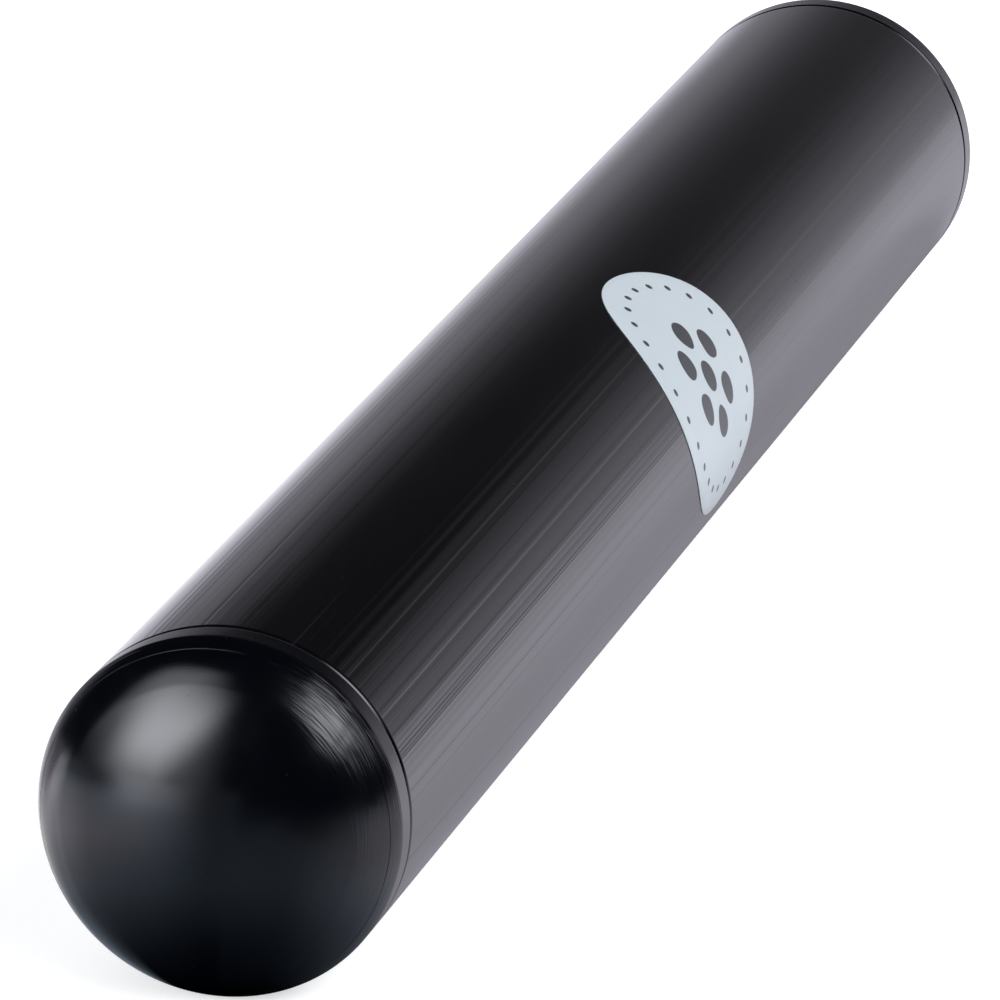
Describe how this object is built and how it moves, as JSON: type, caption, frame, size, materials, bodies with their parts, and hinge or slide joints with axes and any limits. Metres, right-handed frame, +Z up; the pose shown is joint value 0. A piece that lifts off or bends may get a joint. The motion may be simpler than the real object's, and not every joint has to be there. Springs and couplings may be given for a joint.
{
  "type": "ganza shaker",
  "caption": "Long straight shaker: a black metal tube with two flush domed plastic caps, a round pale label, and loose steel shot that runs and swirls inside.",
  "frame": {"origin": "on the tube's axis, halfway along the tube", "axes": "+X along the axis towards the far cap, +Z up as the shaker lies at rest with its shot at the bottom, the label faces -Y and up"},
  "size_m": [0.3474, 0.0451, 0.045],
  "materials": {
    "tube_metal": "drawn and dyed black, satin",
    "cap_plastic": "moulded, soft gloss with fine wear",
    "label_film": "satin film, bare",
    "shot_steel": "bright, lightly scuffed"
  },
  "bodies": {
    "shaker": {"tube": "tube_metal", "near_cap": "cap_plastic", "far_cap": "cap_plastic", "label": "label_film"},
    "shot_bed": {"shot_bottom_row": "shot_steel"},
    "shot_front_1": {"shot_front_row_1": "shot_steel"},
    "shot_front_2": {"shot_front_row_2": "shot_steel"},
    "shot_front_3": {"shot_front_row_3": "shot_steel"},
    "shot_back_1": {"shot_back_row_1": "shot_steel"},
    "shot_back_2": {"shot_back_row_2": "shot_steel"},
    "shot_back_3": {"shot_back_row_3": "shot_steel"},
    "shot_upper_front": {"shot_upper_front_row": "shot_steel"},
    "shot_upper_middle": {"shot_upper_middle_row": "shot_steel"},
    "shot_upper_back": {"shot_upper_back_row": "shot_steel"}
  },
  "joints": [
    {"name": "shot_swirl", "type": "hinge", "parent": "shaker", "child": "shot_bed", "pos_m": [0, 0, 0], "axis": [1, 0, 0], "continuous": true},
    {"name": "front_row_1_run", "type": "slide", "parent": "shot_bed", "child": "shot_front_1", "axis": [1, 0, 0], "range_m": [-0.0924, 0.0924]},
    {"name": "front_row_2_run", "type": "slide", "parent": "shot_bed", "child": "shot_front_2", "axis": [1, 0, 0], "range_m": [-0.0924, 0.0924]},
    {"name": "front_row_3_run", "type": "slide", "parent": "shot_bed", "child": "shot_front_3", "axis": [1, 0, 0], "range_m": [-0.0924, 0.0924]},
    {"name": "back_row_1_run", "type": "slide", "parent": "shot_bed", "child": "shot_back_1", "axis": [1, 0, 0], "range_m": [-0.0924, 0.0924]},
    {"name": "back_row_2_run", "type": "slide", "parent": "shot_bed", "child": "shot_back_2", "axis": [1, 0, 0], "range_m": [-0.0924, 0.0924]},
    {"name": "back_row_3_run", "type": "slide", "parent": "shot_bed", "child": "shot_back_3", "axis": [1, 0, 0], "range_m": [-0.0924, 0.0924]},
    {"name": "upper_front_row_run", "type": "slide", "parent": "shot_bed", "child": "shot_upper_front", "axis": [1, 0, 0], "range_m": [-0.1148, 0.1148]},
    {"name": "upper_middle_row_run", "type": "slide", "parent": "shot_bed", "child": "shot_upper_middle", "axis": [1, 0, 0], "range_m": [-0.1148, 0.1148]},
    {"name": "upper_back_row_run", "type": "slide", "parent": "shot_bed", "child": "shot_upper_back", "axis": [1, 0, 0], "range_m": [-0.1148, 0.1148]}
  ]
}
